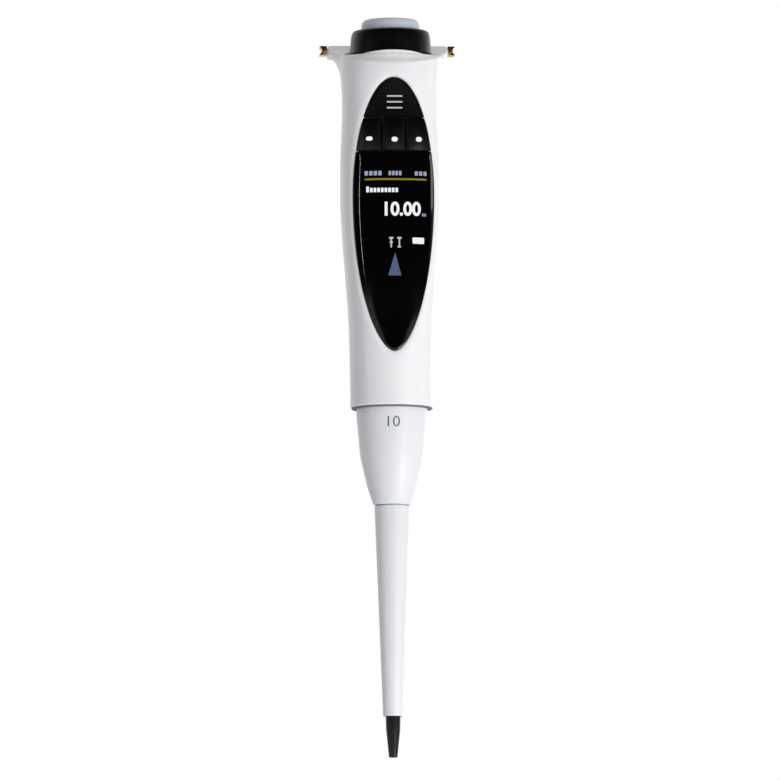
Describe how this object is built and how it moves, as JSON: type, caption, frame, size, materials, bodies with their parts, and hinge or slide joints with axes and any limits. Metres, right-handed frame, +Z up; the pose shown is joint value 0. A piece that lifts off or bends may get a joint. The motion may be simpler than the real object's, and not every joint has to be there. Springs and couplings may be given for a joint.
{
  "type": "electronic pipette",
  "caption": "Single-channel electronic pipette with an egg-shaped display panel, soft keys, top wheel and button, finger hook, ear contacts and an ejector sleeve over a tip cone.",
  "frame": {"origin": "on the pipette's axis, level with the undersides of the two charging contacts that it hangs by", "axes": "+Z up along the pipette's axis away from the tip cone, -Y out of the display, +Y towards the finger hook, +X to the right of someone who reads the display"},
  "size_m": [0.0384, 0.0546, 0.2093],
  "materials": {
    "white_moulding": "satin",
    "sleeve_moulding": "satin",
    "black_moulding": "satin",
    "display_lens": "polished",
    "grey_button": "satin",
    "cone_moulding": "satin",
    "contact_plating": "plated",
    "bright_steel": "turned",
    "spring_steel": "drawn wire",
    "frame_moulding": "moulded",
    "sliding_moulding": "moulded",
    "circuit_board": "solder mask",
    "battery_cell": "sleeved",
    "switch_body": "moulded",
    "seal": "moulded"
  },
  "bodies": {
    "housing": {"front_shell": "white_moulding", "rear_shell": "white_moulding", "top_cover": "white_moulding", "left_contact": "contact_plating", "right_contact": "contact_plating", "display_lens": "display_lens", "eject_switch": "switch_body", "soft_switch_left": "switch_body", "soft_switch_middle": "switch_body", "soft_switch_right": "switch_body", "tip_cone": "cone_moulding", "cone_filter": "seal", "piston_seal": "seal", "seal_collar": "sliding_moulding", "seal_spring": "spring_steel", "cone_nut": "frame_moulding", "ejector_spring": "spring_steel", "ejector_plate": "frame_moulding", "ejector_motor": "bright_steel", "chassis": "frame_moulding", "housing_screw": "bright_steel", "guide_rod_left": "bright_steel", "guide_rod_right": "bright_steel", "gearhead": "frame_moulding", "piston_motor": "bright_steel", "motor_encoder": "black_moulding", "main_board": "circuit_board", "display_module": "switch_body", "battery": "battery_cell", "charging_board": "circuit_board", "charging_socket": "bright_steel", "head_frame": "frame_moulding", "sensor_board": "circuit_board", "button_spring": "spring_steel", "button_switch": "switch_body"},
    "wheel": {"adjustment_wheel": "black_moulding", "encoder_ring": "black_moulding"},
    "button": {"operating_button": "grey_button"},
    "eject_key": {"eject_key": "black_moulding"},
    "left_key": {"soft_key_left": "black_moulding"},
    "middle_key": {"soft_key_middle": "black_moulding"},
    "right_key": {"soft_key_right": "black_moulding"},
    "power_switch": {"power_switch": "black_moulding"},
    "piston_drive": {"drive_nut": "sliding_moulding", "piston_rod": "bright_steel", "piston": "bright_steel"},
    "lead_screw": {"lead_screw": "bright_steel"},
    "ejector": {"ejector_bell": "sleeve_moulding", "ejector_tube": "sleeve_moulding", "ejector_yoke": "sliding_moulding"},
    "ejector_screw": {"ejector_screw": "bright_steel"}
  },
  "joints": [
    {"name": "wheel_turn", "type": "hinge", "parent": "housing", "child": "wheel", "pos_m": [0, 0, 0.002], "axis": [0, 0, 1], "continuous": true},
    {"name": "button_press", "type": "slide", "parent": "housing", "child": "button", "axis": [0, 0, -1], "range_m": [0, 0.001], "stiffness_N_per_m": 900, "deforming": ["button_spring"]},
    {"name": "eject_key_press", "type": "slide", "parent": "housing", "child": "eject_key", "axis": [0, 1, 0], "range_m": [0, 0.0008], "stiffness_N_per_m": 800},
    {"name": "left_key_press", "type": "slide", "parent": "housing", "child": "left_key", "axis": [0, 1, 0], "range_m": [0, 0.0005], "stiffness_N_per_m": 800},
    {"name": "middle_key_press", "type": "slide", "parent": "housing", "child": "middle_key", "axis": [0, 1, 0], "range_m": [0, 0.0005], "stiffness_N_per_m": 800},
    {"name": "right_key_press", "type": "slide", "parent": "housing", "child": "right_key", "axis": [0, 1, 0], "range_m": [0, 0.0005], "stiffness_N_per_m": 800},
    {"name": "power_switch_slide", "type": "slide", "parent": "housing", "child": "power_switch", "axis": [0, 0, 1], "range_m": [0, 0.002]},
    {"name": "piston_stroke", "type": "slide", "parent": "housing", "child": "piston_drive", "axis": [0, 0, 1], "range_m": [-0.002, 0.0128]},
    {"name": "lead_screw_turn", "type": "hinge", "parent": "housing", "child": "lead_screw", "pos_m": [0, 0, -0.077], "axis": [0, 0, 1], "range_deg": [-2305, 361]},
    {"name": "eject_slide", "type": "slide", "parent": "housing", "child": "ejector", "axis": [0, 0, -1], "range_m": [0, 0.007], "deforming": ["ejector_spring"]},
    {"name": "ejector_screw_turn", "type": "hinge", "parent": "housing", "child": "ejector_screw", "pos_m": [0, 0, -0.033], "axis": [0, 0, 1], "range_deg": [-1, 1681]}
  ],
  "couplings": [
    {"joint": "lead_screw_turn", "follows": "piston_stroke", "rad_per_m": -3141.6},
    {"joint": "ejector_screw_turn", "follows": "eject_slide", "rad_per_m": 4188.8}
  ]
}
